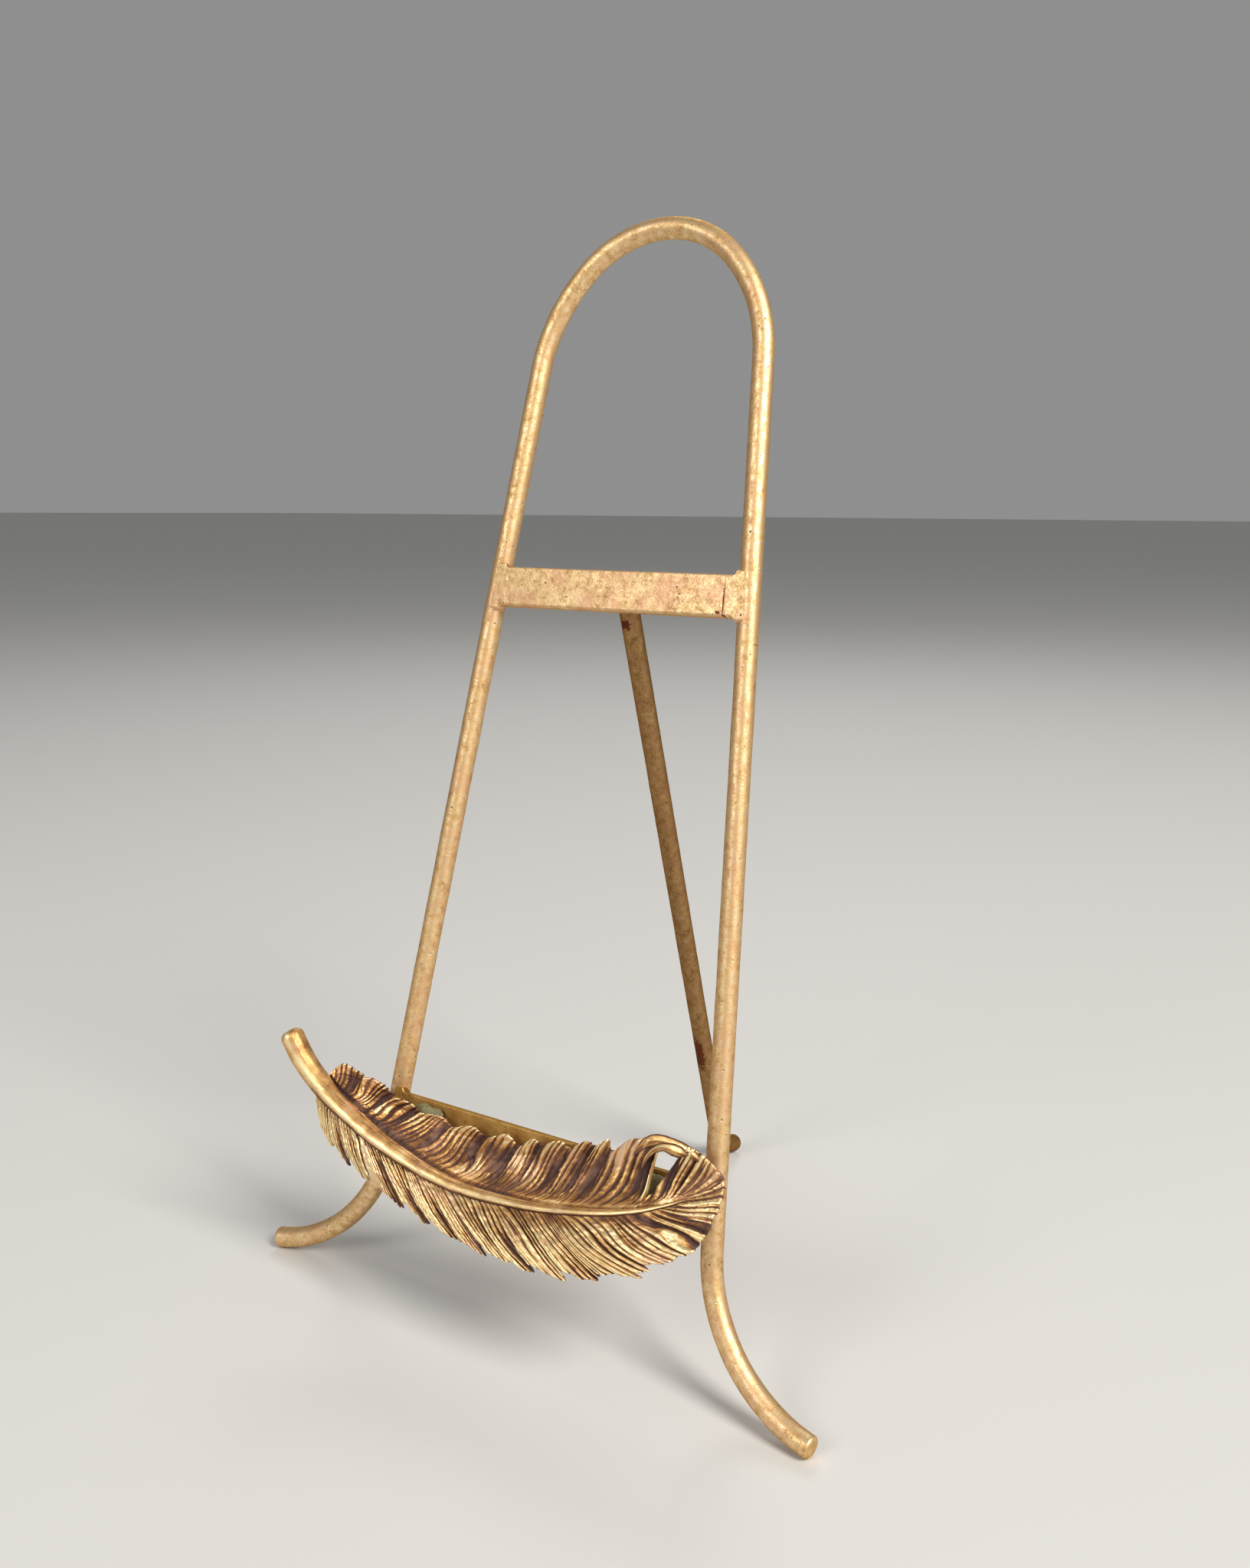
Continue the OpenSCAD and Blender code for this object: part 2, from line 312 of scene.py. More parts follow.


# Gold paint over steel: soft mottling, a copper tint in patches, fine sparkle, dark pits, and
# rust where the attribute of that name says. A shade other than white darkens it all as painted
# shade.
def goldBarFinish(name, look, shade=(1.0, 1.0, 1.0), copperShare=0.5):
    material, tree, shader = newMaterial(name)
    place = addNode(tree, "ShaderNodeTexCoord").outputs["Object"]
    broad = noise(tree, place, look["broadScale"], 4.0, 0.6)
    patch = noise(tree, place, look["patchScale"], 5.0, 0.62)
    fleck = noise(tree, place, look["fleckScale"], 3.0, 0.6)
    sparkle = tuple(min(1, look["sparkle"] * c) for c in look["bright"])
    gold = ramp(tree, weigh(tree, patch, 0.62, fleck, 0.38),
                [(0.30, look["olive"]), (0.44, look["middle"]), (0.60, look["bright"]), (0.80, sparkle)])
    gold = blendColour(tree, spread(tree, broad, 0.40, 0.72, 0.0, copperShare), gold, look["copper"])
    holes = addNode(tree, "ShaderNodeTexVoronoi",
                    {"Vector": place, "Scale": look["pitScale"], "Randomness": 1.0})
    pits = sums(tree, "MULTIPLY", spread(tree, holes.outputs["Distance"], 0.10, 0.24, 1.0, 0.0),
                spread(tree, noise(tree, place, look["pitClusterScale"], 2.0), 0.54, 0.66))
    gold = blendColour(tree, sums(tree, "MULTIPLY", pits, 0.85), gold, look["pit"])
    rust = addNode(tree, "ShaderNodeAttribute", attribute_name="rust").outputs["Fac"]
    rusted = spread(tree, jostle(tree, rust, noise(tree, place, look["rustScale"], 4.0), 1.3), 0.42, 0.62)
    rustColour = blendColour(tree, noise(tree, place, look["rustGrainScale"], 2.0),
                             look["rust"], look["rustLight"])
    gold = blendColour(tree, rusted, gold, rustColour)
    # painted shade: a shade other than white darkens the whole colour, for a part that lies in shadow
    if shade != (1.0, 1.0, 1.0):
        gold = blendColour(tree, 1.0, gold, shade, "MULTIPLY")
    tree.links.new(gold, shader.inputs["Base Color"])
    shader.inputs["Specular Tint"].default_value = (*look["edge"], 1)
    spoiled = sums(tree, "MAXIMUM", rusted, pits)
    smoothest, roughest = look["roughness"]
    rough = spread(tree, weigh(tree, patch, 0.5, fleck, 0.5), 0.35, 0.65, roughest, smoothest)
    rough = sums(tree, "ADD", rough, sums(tree, "MULTIPLY", spoiled, 0.3))
    tree.links.new(rough, shader.inputs["Roughness"])
    metal = sums(tree, "SUBTRACT", look["metallic"], sums(tree, "MULTIPLY", spoiled, 0.8))
    tree.links.new(metal, shader.inputs["Metallic"])
    height = weigh(tree, fleck, 0.55, patch, 0.9)
    height = sums(tree, "SUBTRACT", height, sums(tree, "MULTIPLY", pits, 1.4))
    height = sums(tree, "ADD", height, sums(tree, "MULTIPLY", rusted, -0.5))
    addGrain(tree, shader, height, look["grainDepth"], 0.9)
    return material


castingLook = {
    "crest": (1.0, 0.80, 0.45),        # rubbed-up ridges
    "gold": (0.80, 0.49, 0.19),
    "dull": (0.34, 0.155, 0.052),
    "washLight": (0.165, 0.074, 0.040),
    "wash": (0.056, 0.021, 0.015),     # dark brown glaze in the grooves
    "stops": (0.23, 0.37, 0.54, 0.67, 0.82),      # groove depths where those five colours lie
    "pink": (0.78, 0.43, 0.29),
    "patchScale": 260,                 # clouds to a metre
    "fleckScale": 1500,
    "pinkScale": 120,
    "fibreScale": (2.6, 0.16),         # clouds to a millimetre, across the barbs and along them
    "patchBreak": 0.34,                # how far each noise breaks up the glaze
    "fleckBreak": 0.20,
    "fibreBreak": 0.34,
    "roughness": (0.40, 0.66),
    "metallic": 0.88,
    "grainDepth": 0.00005,
}


# Gold leaf look on the casting: the glaze attribute runs from 0 on the ridges to 1 in the
# grooves, it also carries painted shade and a painted highlight, and noise breaks the glaze up.
# The attributes run and outward lay fibres along the barbs.
def castingFinish(name, look):
    material, tree, shader = newMaterial(name)
    place = addNode(tree, "ShaderNodeTexCoord").outputs["Object"]
    glazeAndShade, run, outward = (addNode(tree, "ShaderNodeAttribute", attribute_name=key).outputs["Fac"]
                            for key in ("glazeAndShade", "run", "outward"))
    patch = noise(tree, place, look["patchScale"], 4.0, 0.6)
    fleck = noise(tree, place, look["fleckScale"], 4.0, 0.65)
    across, lengthwise = look["fibreScale"]
    fibrePlace = addNode(tree, "ShaderNodeCombineXYZ", {"X": sums(tree, "MULTIPLY", run, across),
                                                        "Y": sums(tree, "MULTIPLY", outward, lengthwise)})
    fibre = noise(tree, fibrePlace.outputs["Vector"], 1.0, 3.0, 0.6)
    broken = jostle(tree, glazeAndShade, patch, look["patchBreak"])
    broken = jostle(tree, broken, fleck, look["fleckBreak"])
    broken = jostle(tree, broken, fibre, look["fibreBreak"])
    colours = [look[key] for key in ("crest", "gold", "dull", "washLight", "wash")]
    colour = ramp(tree, broken, list(zip(look["stops"], colours)))
    pink = sums(tree, "MULTIPLY", spread(tree, noise(tree, place, look["pinkScale"], 3.0), 0.50, 0.66),
                spread(tree, broken, 0.30, 0.60, 0.55, 0.14))
    colour = blendColour(tree, pink, colour, look["pink"])
    tree.links.new(colour, shader.inputs["Base Color"])
    glaze = spread(tree, broken, 0.58, 0.86)
    metal = sums(tree, "SUBTRACT", look["metallic"], sums(tree, "MULTIPLY", glaze, 0.70))
    tree.links.new(metal, shader.inputs["Metallic"])
    rough = jostle(tree, spread(tree, broken, 0.2, 0.8, *look["roughness"]), fleck, 0.15)
    tree.links.new(rough, shader.inputs["Roughness"])
    addGrain(tree, shader, weigh(tree, fleck, 0.6, fibre, 2.2), look["grainDepth"], 0.85)
    return material


glueLook = {
    "dark": (0.10, 0.085, 0.03),
    "middle": (0.20, 0.178, 0.08),
    "light": (0.30, 0.27, 0.15),
    "cloudScale": 300,
    "roughness": (0.35, 0.55),
    "grainDepth": 0.0002,
}


# Set adhesive: a dull grey-green with soft clouds, glossier where it's lighter.
def glueFinish(name, look):
    material, tree, shader = newMaterial(name)
    place = addNode(tree, "ShaderNodeTexCoord").outputs["Object"]
    cloud = noise(tree, place, look["cloudScale"], 4.0)
    colour = ramp(tree, cloud, [(0.3, look["dark"]), (0.5, look["middle"]), (0.7, look["light"])])
    tree.links.new(colour, shader.inputs["Base Color"])
    glossy, matt = look["roughness"]
    tree.links.new(spread(tree, cloud, 0.3, 0.7, matt, glossy), shader.inputs["Roughness"])
    addGrain(tree, shader, cloud, look["grainDepth"], 0.6)
    return material


goldBar = goldBarFinish("antique gold bar", goldBarLook)
goldStrap = goldBarFinish("antique gold strap", goldBarLook, copperShare=0.85)
# Darker copies of the same gold paint: painted shade for the lower strap behind the feather, and for the
# rear leg and hinge
goldLowPaintedShade = goldBarFinish("antique gold low strap in painted shade", goldBarLook, (0.66, 0.55, 0.32), 0.2)
goldPaintedShade = goldBarFinish("antique gold leg in painted shade", goldBarLook, (0.44, 0.375, 0.30), 0.6)
goldCasting = castingFinish("antique gold casting", castingLook)
setGlue = glueFinish("set adhesive", glueLook)

archSize = {
    "barRadius": 3.0,
    "legSpread": 117.0,      # between the leg centrelines, at the floor
    "splay": 4.6,            # degrees each leg leans inward
    "archStart": 275.0,      # up the frame, where the shoulders begin
    "shoulderRadius": 46.0,
    "shoulderEnd": 45.0,     # degrees, where the crown takes over
    "footRadius": 41.4,
    "footTurn": 77.8,
    "footForward": 7.8,
    "dent": 0.035,           # hammer marks and paint build-up
    "endEdge": 0.8,          # rounding of the cut ends
    "step": 1.0,             # between rings
    "around": 48,            # points in a ring
    # rust spots on the legs' outer sides: up the frame, which leg, size
    "rustSpots": [(197, 1, 0.8), (186, 1, 0.5), (60, -1, 0.6), (120, 1, 0.4), (148, -1, 0.4)],
}


# How far a leg's middle line is from the middle plane, so far up the frame: half the spread at
# the floor, less the height times the slope.
def legAcross(up):
    slope = math.tan(math.radians(archSize["splay"]))
    return (archSize["legSpread"] / 2 - np.asarray(up) / mm * slope) * mm


# Half the bar's line from the crown's middle to the foot's end, in the frame's plane: a crown
# arc, a shoulder arc, a straight leg, and a foot arc that turns outward and a little forward.
def halfArchLine(size):
    splay, end = math.radians(size["splay"]), math.radians(size["shoulderEnd"])
    lean = math.atan2(upAxis[1], upAxis[2])
    turn, ahead = math.radians(size["footTurn"]), math.radians(size["footForward"])
    legAtArch = size["legSpread"] / 2 - size["archStart"] * math.tan(splay)
    shoulder = size["shoulderRadius"]
    shoulderX = legAtArch - shoulder * math.cos(splay)
    shoulderY = size["archStart"] - shoulder * math.sin(splay)
    crown = shoulder + shoulderX / math.cos(end)
    crownY = shoulderY + (shoulder - crown) * math.sin(end)
    a = np.linspace(tau / 4, end, 60)[:-1]
    crownArc = np.stack([crown * np.cos(a), crownY + crown * np.sin(a), 0 * a], -1)
    a = np.linspace(end, splay, 50)[:-1]
    shoulderArc = np.stack([shoulderX + shoulder * np.cos(a),
                            shoulderY + shoulder * np.sin(a), 0 * a], -1)
    outZ = math.cos(ahead) * math.sin(splay) * math.cos(lean) + math.sin(ahead) * math.sin(lean)
    footRadius = size["footRadius"]
    downZ = math.cos(splay) * math.cos(lean)
    drop = footRadius * (math.sin(turn) * downZ - (1 - math.cos(turn)) * outZ)
    slope = math.asin(math.cos(turn) * downZ - math.sin(turn) * outZ)
    footStart = (drop + size["barRadius"] * math.cos(slope)) / math.cos(lean)
    legLength = (size["archStart"] - footStart) / math.cos(splay)
    down = np.array([math.sin(splay), -math.cos(splay), 0])
    sideways = np.array([math.cos(splay), math.sin(splay), 0])
    outward = sideways * math.cos(ahead) + np.array([0, 0, math.sin(ahead)])
    start = np.array([legAtArch, size["archStart"], 0])
    leg = start + down * np.linspace(0, legLength, 120)[:-1, None]
    a = np.linspace(0, turn, 70)[:, None]
    foot = (start + down * legLength + down * footRadius * np.sin(a)
            + outward * footRadius * (1 - np.cos(a)))
    return np.concatenate([crownArc, shoulderArc, leg, foot])


# Shallow dents round a bar: long soft ones and short ones, none at the very ends. The place s
# is along the bar in millimetres, a is the share of the way round.
def barDents(size, s, a, longWave, shortWave, seed):
    dents = 0.6 * ripple(s / longWave, np.cos(tau * a), seed)
    dents = dents + 0.5 * ripple(s / shortWave, 2 * np.sin(tau * a), seed + 2)
    return size["dent"] * mm * dents * smooth(0, 2, np.minimum(s, s[-1] - s))


# The bar: the half line mirrored to a whole one, and a round section with dents along it. Rust
# falls off round each spot as a bell curve, on the outer side of the leg only.
def makeArch(size):
    half = halfArchLine(size)
    path = toRoom(np.concatenate([half[::-1] * np.array([-1, 1, 1]), half[1:]]) * mm)
    edge = size["endEdge"] * mm
    distance = stations(along(path)[-1], size["step"] * mm, edge)
    path = restation(path, distance)
    radius = roundedEnds(distance, size["barRadius"] * mm, edge)
    s, a = np.meshgrid(distance / mm, np.arange(size["around"]) / size["around"], indexing="ij")
    rings = sweep(path, radius, size["around"], outAxis, barDents(size, s, a, 16, 4.5, 3))
    up = (path - frameFoot) @ upAxis
    outer = smooth(0.6, 1.0, np.cos(tau * (a - 0.5)))
    worn = np.zeros(rings.shape[:2])
    for spot, whichLeg, spotSize in size["rustSpots"]:
        near = np.exp(-((up / mm - spot) / spotSize) ** 2) * (np.sign(path[:, 0]) == whichLeg)
        worn += 0.75 * near[:, None] * outer
    mesh = skinMesh("archBar", rings, {"rust": worn})
    return addPiece("archBar", mesh, goldBar, "frame", ["arch_rod"])


makeArch(archSize)

strapShape = {
    "fillet": 1.5,       # weld fillet against the bars
    "corner": 0.45,      # rounding of the long edges
    "lump": 0.035,       # unevenness of the dressed welds
    "lumpSize": 3.2,
    "lumpLimit": 0.02,   # how far it may stand proud
    "wave": 0.03,        # unevenness of the flat face
    "waveSize": (22, 14),
    "endGap": 0.4,       # between the strap's end and the leg's middle line
    "weldLength": 2.2,   # in fillets
    "innerColumns": 150,
    "weldColumns": 45,
    "faceRows": 26,
    "cornerRows": 5,
}


# A flat bar with rounded long edges, carried across from leg to leg: the height grows in a
# quarter circle beside each leg, where the weld is, and the ends stop near the legs' middle
# lines. Each mark sinks the front as a bell curve, and rust marks are kept for the paint.
def strapRings(shape, up, seed, marks):
    half, thick = strapSize["height"] / 2, strapSize["thick"]
    corner, fillet = shape["corner"] * mm, shape["fillet"] * mm
    reach = float(legAcross(up))
    bar = archSize["barRadius"] * mm
    weldStart = reach - bar - shape["weldLength"] * fillet
    inner = np.linspace(-1, 1, shape["innerColumns"]) * weldStart
    ends = np.linspace(weldStart, reach - shape["endGap"] * mm, shape["weldColumns"] + 1)[1:]
    x = np.concatenate([-ends[::-1], inner, ends])
    gap = np.clip((np.abs(x) - (reach - bar - fillet)) / fillet, 0, 1)
    grow = fillet * (1 - np.sqrt(1 - gap**2 * 0.985))
    # section: up the front, over the top edge, down the back, under the bottom edge
    rows = shape["faceRows"]
    bend = np.linspace(0, 1, shape["cornerRows"] + 2)[1:-1] * tau / 4
    yFlat = np.linspace(-1, 1, rows) * (half - corner)
    y = np.concatenate([yFlat, half - corner + corner * np.sin(bend), yFlat[::-1],
                        -(half - corner) - corner * np.sin(bend)])
    z = np.concatenate([np.full(rows, thick), thick - corner + corner * np.cos(bend),
                        np.zeros(rows), corner - corner * np.cos(bend)])
    xx, yy = np.meshgrid(x, y, indexing="ij")
    zz = np.broadcast_to(z, xx.shape).copy()
    yy = yy + np.sign(yy) * smooth(0.55 * half, half, np.abs(yy)) * grow[:, None]
    atEnd = smooth(reach - bar - 2.5 * fillet, reach - bar, np.abs(xx))
    lumpSize = shape["lumpSize"] * mm
    lump = shape["lump"] * mm * atEnd * ripple(xx / lumpSize, yy / lumpSize, seed)
    lump = np.minimum(lump, shape["lumpLimit"] * mm)
    waveAcross, waveUp = shape["waveSize"]
    wave = shape["wave"] * mm * ripple(xx / (waveAcross * mm), yy / (waveUp * mm), seed + 1)
    front = zz > thick * 0.6
    zz = zz + np.where(front, lump + wave, 0)
    rust = np.zeros(xx.shape)
    for kind, markX, markY, sizeX, sizeY, depth in marks:
        near = np.exp(-((xx / mm - markX) / sizeX) ** 2 - ((yy / mm - markY) / sizeY) ** 2)
        zz = zz - np.where(front, near * depth * mm, 0)
        if kind == "rust":
            rust = np.maximum(rust, near)
    # toward its ends the strap leans as the legs do
    slope = math.tan(math.radians(archSize["splay"]))
    xSkew = xx - np.sign(xx) * yy * slope * np.clip(np.abs(xx) / reach, 0, 1) ** 3
    return toRoom(np.stack([xSkew, yy + up, zz], -1)), rust


# A strap as one piece with its welds.
def makeStrap(name, up, seed, finish, nodes, marks):
    rings, rust = strapRings(strapShape, up, seed, marks)
    mesh = skinMesh(name, rings, {"rust": rust})
    return addPiece(name, mesh, finish, "frame", nodes)


# Marks on the straps in millimetres from the middle: across, up, half width, half height, depth.
strapMarks = {
    "upper": [("rust", 33.8, -4.6, 0.9, 0.55, 0.10), ("rust", 35.3, -1.0, 0.22, 5.0, 0.14),
              ("pit", -38.6, -5.3, 0.8, 0.6, 0.35), ("pit", -36.4, 2.4, 0.4, 0.4, 0.2),
              ("rust", 35.6, -5.4, 0.7, 0.4, 0.1), ("pit", 12.0, 3.0, 0.3, 0.3, 0.12)],
    "lower": [("rust", -41.5, -0.5, 1.2, 1.8, 0.05), ("pit", -48.9, 5.2, 0.7, 0.6, 0.4),
              ("rust", -32.3, 2.0, 0.6, 0.5, 0.05)],
}
makeStrap("upperStrap", upperUp, 21, goldStrap,
          ["upper_crossbar", "weld_upper_left", "weld_upper_right"], strapMarks["upper"])
# the lower strap takes the gold darkened as painted shade
makeStrap("lowerStrap", lowerUp, 31, goldLowPaintedShade,
          ["lower_crossbar", "weld_lower_left", "weld_lower_right"], strapMarks["lower"])

rearLegSize = {
    "barRadius": 3.0,
    "above": 3.6,            # length above the hinge pin
    "legAngle": 31.8,        # between the frame and the open leg
    "footRadius": 19.8,
    "footTurn": 58.0,
    "endEdge": 1.1,
    "dent": 0.035,
    "step": 1.0,
    "around": 48,
    # rust patches: distance from the top, half length, strength
    "rustSpots": [(166.5, 8.0, 0.95), (10.0, 2.2, 0.85)],
    "rustSide": 0.21,        # share of the way round where they face
}


# The leg's line in the middle plane: straight down and back from above the pin, then a foot
# bend that turns backward until its underside touches the floor.
def rearLegLine(size, pivot):
    lean = math.atan2(upAxis[1], upAxis[2])
    first = math.radians(size["legAngle"]) - lean
    last = first + math.radians(size["footTurn"])
    radius = size["footRadius"] * mm
    straight = (pivot[2] - size["barRadius"] * mm * math.sin(last)
                - radius * (math.sin(last) - math.sin(first))) / math.cos(first)
    down = np.array([0, math.sin(first), -math.cos(first)])
    leg = pivot + down * np.linspace(-size["above"] * mm, straight, 120)[:-1, None]
    a = np.linspace(first, last, 40)[:, None]
    centre = pivot + down * straight + radius * np.array([0, math.cos(first), math.sin(first)])
    foot = centre - radius * np.concatenate([0 * a, np.cos(a), np.sin(a)], 1)
    return np.concatenate([leg, foot])


# The rear leg, hung from the hinge: a round section with dents along its line, and rust that
# falls off along the leg as a bell curve. Its gold paint is darkened all over as painted shade.
def makeRearLeg(size):
    pivot = np.array(frame["joints"][0]["pos_m"])
    path = rearLegLine(size, pivot)
    edge = size["endEdge"] * mm
    distance = stations(along(path)[-1], size["step"] * mm, edge)
    path = restation(path, distance)
    radius = roundedEnds(distance, size["barRadius"] * mm, edge)
    s, a = np.meshgrid(distance / mm, np.arange(size["around"]) / size["around"], indexing="ij")
    dents = barDents(size, s, a, 15, 4.0, 43)
    rings = sweep(path, radius, size["around"], np.array([0, -1.0, 0.3]), dents)
    facing = smooth(0.45, 1.0, np.cos(tau * (a - size["rustSide"])))
    worn = sum(np.exp(-((s - spot) / halfLength) ** 2) * facing * strength
               for spot, halfLength, strength in size["rustSpots"])
    mesh = skinMesh("rearLegBar", rings, {"rust": worn})
    return addPiece("rearLegBar", mesh, goldPaintedShade, "leg", ["rear_leg"])


makeRearLeg(rearLegSize)

# Lines of the casting in millimetres, from the line where the frame's plane meets the floor:
# across, back, up. They run from the quill's free end to the tip.
featherLines = {
    "quill": [[-78.7, -7, 75.2], [-73.3, -7.2, 67.7], [-66.0, -7.7, 61.7], [-57.4, -8, 57.2],
              [-40, -8.5, 49.7], [-17, -9, 44.8], [8, -9, 45.8], [27, -8.5, 49.2], [40, -7, 52.4],
              [49, -4.5, 55.6], [55.5, -1.5, 58.4], [61.3, 1.5, 60.6]],
    "upper": [[-74, -7, 76.5], [-69, -6.8, 67], [-66, -3.5, 64.5], [-59, -1, 66.6], [-38, 6, 55.6],
              [-12, 7.3, 54.6], [15, 6.5, 59.5], [32, 6, 65.5], [46, 6, 68], [55, 5.5, 66.2],
              [60.2, 4.5, 63], [61.9, 2.4, 61.4]],
    "lower": [[-80, -7, 73.6], [-74, -7.8, 63.4], [-67, -9, 56.4], [-60.5, -11, 44.3],
              [-31, -14, 35], [-1, -17, 32], [26, -17.8, 33.6], [45, -16.3, 39.2],
              [55.5, -13, 45.2], [60.8, -8, 49.8], [62.9, -2.5, 57.6], [62.4, 1, 60.4]],
}
# How the barbs run: edge position, root position on the quill, both counted in line points.
barbRoots = {
    "upper": [(2.1, 1.9), (2.6, 2.2), (3.2, 2.7), (4.0, 3.6), (4.46, 4.2), (4.92, 4.8),
              (5.4, 5.35), (5.9, 5.85), (6.75, 6.5), (7.36, 7.15), (7.7, 7.9), (8.4, 8.5),
              (9.5, 8.8), (11, 8.95)],
    "lower": [(2.2, 1.85), (3.04, 2.3), (3.34, 2.75), (3.62, 3.1), (3.92, 3.5), (4.37, 4.05),
              (5.07, 4.75), (5.66, 5.45), (6.07, 5.78), (6.53, 6.15), (7.1, 6.4), (7.62, 6.65),
              (7.95, 7.05), (8.5, 7.65), (9.07, 8.2), (9.9, 8.7), (11, 8.95)],
}
# Where one lock of barbs ends and the next begins, along each edge, and how deep the notch is.
locks = {
    "upper": [(2.1, 0.02), (3.20, 0.10), (3.65, 0.12), (4.02, 0.15), (4.47, 0.15), (4.91, 0.13),
              (5.35, 0.15), (5.60, 0.07), (5.98, 0.08), (6.41, 0.07), (6.79, 0.13), (7.66, 0.0),
              (8.34, 0.0), (8.75, 0.012), (9.15, 0.012), (9.6, 0.012), (10.1, 0.012), (11.01, 0)],
    "lower": [(2.2, 0), (2.72, 0.05), (3.12, 0.09), (3.37, 0.10), (3.62, 0.11), (4.09, 0.10),
              (4.43, 0.09), (4.86, 0.06), (5.12, 0.12), (5.44, 0.05), (5.71, 0.11), (6.13, 0.09),
              (6.62, 0.07), (7.70, 0.07), (8.35, 0.03), (8.9, 0.02), (9.6, 0.015), (10.2, 0.012),
              (11.01, 0)],
}
# Sizes in millimetres. A pair holds the upper vane's value and the lower one's.
featherShape = {
    "columns": 1500,
    "frontRows": 42,
    "backRows": 20,
    "edgeFrom": (2.1, 2.2),      # where the vanes begin on their edge lines
    "edgeTo": 11,                # where both end, at the tip
    "hollow": (4, 0.4),          # how far the corner of the vane's hollow lies below the quill
    "hollowPull": (0.72, 0.32),  # how strongly the barbs are drawn to that corner
    "thick": 1.35,               # of the vanes, in the middle
    "edgeThick": 0.55,
    "barbWidth": 2.1,
    "barbDepth": 0.74,
    "strandsToBarb": 2.3,
    "strandDepth": 0.30,
    "ragged": (0.010, 0.050),    # unevenness of the barbs' ends, as a share of their length
    "lockStep": (0.95, 0.45),    # height by which a lock stands over the last one
    "lockSwell": (0.50, 0.22),
    "curl": (1.2, -0.5),         # how far the locks roll forward at their ends
    "mottle": (0.10, 0.05),      # coarse and fine roughness of the casting
    "lip": 0.30,                 # raised edge beside the quill, and the channel inside it
    "channel": 0.55,
    "hole": (7.70, 8.36),        # the gap near the tip, along the upper edge
    "holeFrom": 0.20,
    "quillRadius": [(0, 3.45), (1, 3.35), (2, 3.2), (2.9, 2.75), (4.87, 1.85), (6.3, 1.28),
                    (8.6, 0.66), (9.3, 0.4), (10, 0.2)],
    "quillEnd": 9.75,
    "quillRound": 2.2,           # rounding of its free end
    "quillStep": 0.55,
    "quillAround": 56,
}


# A point on one of the feather's lines, with t counted in line points.
def featherLine(which, t):
    return curveAt(featherLines[which], t) * mm + frameFoot


# The quill's radius, in straight stretches between its knots.
def quillRadiusAt(t):
    knots = np.array(featherShape["quillRadius"])
    return np.interp(t, knots[:, 0], knots[:, 1]) * mm


# Average over a window of that many samples, along the first axis.
def blur(values, window):
    window = max(3, int(window) // 2 * 2 + 1)
    half = window // 2
    padded = np.concatenate([np.repeat(values[:1], half + 1, 0), values, np.repeat(values[-1:], half, 0)])
    total = np.cumsum(padded, 0)
    return (total[window:] - total[:-window]) / window


# Even columns all the way round the vanes' edge, upper edge first: distance in millimetres,
# place on that edge's line, whether it's the upper one, and the point.
def edgeColumns(shape):
    samples = 5000
    (upperFrom, lowerFrom), tip = shape["edgeFrom"], shape["edgeTo"]
    upperT, lowerT = np.linspace(upperFrom, tip, samples), np.linspace(tip, lowerFrom, samples)
    edge = np.concatenate([featherLine("upper", upperT), featherLine("lower", lowerT)])
    length = along(edge)
    s = np.linspace(0, length[-1], shape["columns"])
    at = np.searchsorted(length, s).clip(0, len(edge) - 1)
    edge = np.stack([np.interp(s, length, edge[:, k]) for k in range(3)], -1)
    return s / mm, np.concatenate([upperT, lowerT])[at], at < samples, blur(edge, 9)


# The plain barbs: for each column a cubic curve from its root on the quill, through the vane's
# hollow, to the edge, leaning ahead or back along the quill. Gives the four points of the curves
# and the roots' places on the quill.
def barbCurves(shape, t, upper, edge):
    roots = [np.array(barbRoots[which]) for which in ("upper", "lower")]
    rootT = np.where(upper, np.interp(t, *roots[0].T), np.interp(t, *roots[1].T))
    rootT = blur(rootT[:, None], 45)[:, 0]
    root = featherLine("quill", rootT)
    ahead = unit(featherLine("quill", rootT + 0.1) - featherLine("quill", rootT - 0.1))
    inside = np.clip(t - 2, 0, 1) * np.clip(11 - t, 0, 1)
    dip = blur((np.where(upper, *shape["hollow"]) * inside * mm)[:, None], 61)[:, 0]
    pull = blur(np.where(upper, *shape["hollowPull"])[:, None], 61)
    corner = np.stack([(root[:, 0] + edge[:, 0]) / 2, edge[:, 1], root[:, 2] - dip], -1)
    middle = (root + edge) / 2
    middle = middle + pull * (corner - middle)
    chord = np.linalg.norm(edge - root, axis=1)[:, None]
    beforeTip = 1 - smooth(8.2, 9.6, t)[:, None]
    leanRoot = np.where(upper, 0.15, -0.02)[:, None] * beforeTip
    leanEnd = np.where(upper, -0.17, -0.10 - 0.14 * smooth(6.4, 7.4, t))[:, None] * beforeTip
    control1 = (root + 2 * middle) / 3 + ahead * chord * leanRoot
    control2 = (edge + 2 * middle) / 3 + ahead * chord * leanEnd
    return (root, control1, control2, edge), rootT


# Points on the curves: w runs from 0 at the root to 1 at the edge.
def curvePoint(curves, w):
    a, b, c, d = (points[:, None] for points in curves)
    v = w[..., None]
    return (1 - v)**3 * a + 3 * v * (1 - v)**2 * b + 3 * v * v * (1 - v) * c + v**3 * d


# Normals of the plain surface at the same w, turned to the front. They are taken on an even
# grid, so that notches don't tilt them.
def plainNormals(curves, w):
    columns, steps, start = len(w), 29, 0.02
    even = curvePoint(curves, np.broadcast_to(np.linspace(start, 1, steps + 1), (columns, steps + 1)))
    normal = unit(np.cross(np.gradient(even, axis=0), np.gradient(even, axis=1)))
    normal = np.where((normal @ np.array([0, -1.0, 0.25]))[..., None] < 0, -normal, normal)
    normal = unit(blur(normal.reshape(columns, -1), 31).reshape(normal.shape))
    place = np.clip((w - start) / (1 - start) * steps, 0, steps - 0.001)
    k = place.astype(int)
    f = (place - k)[..., None]
    column = np.arange(columns)[:, None]
    return unit(normal[column, k] * (1 - f) + normal[column, k + 1] * f)


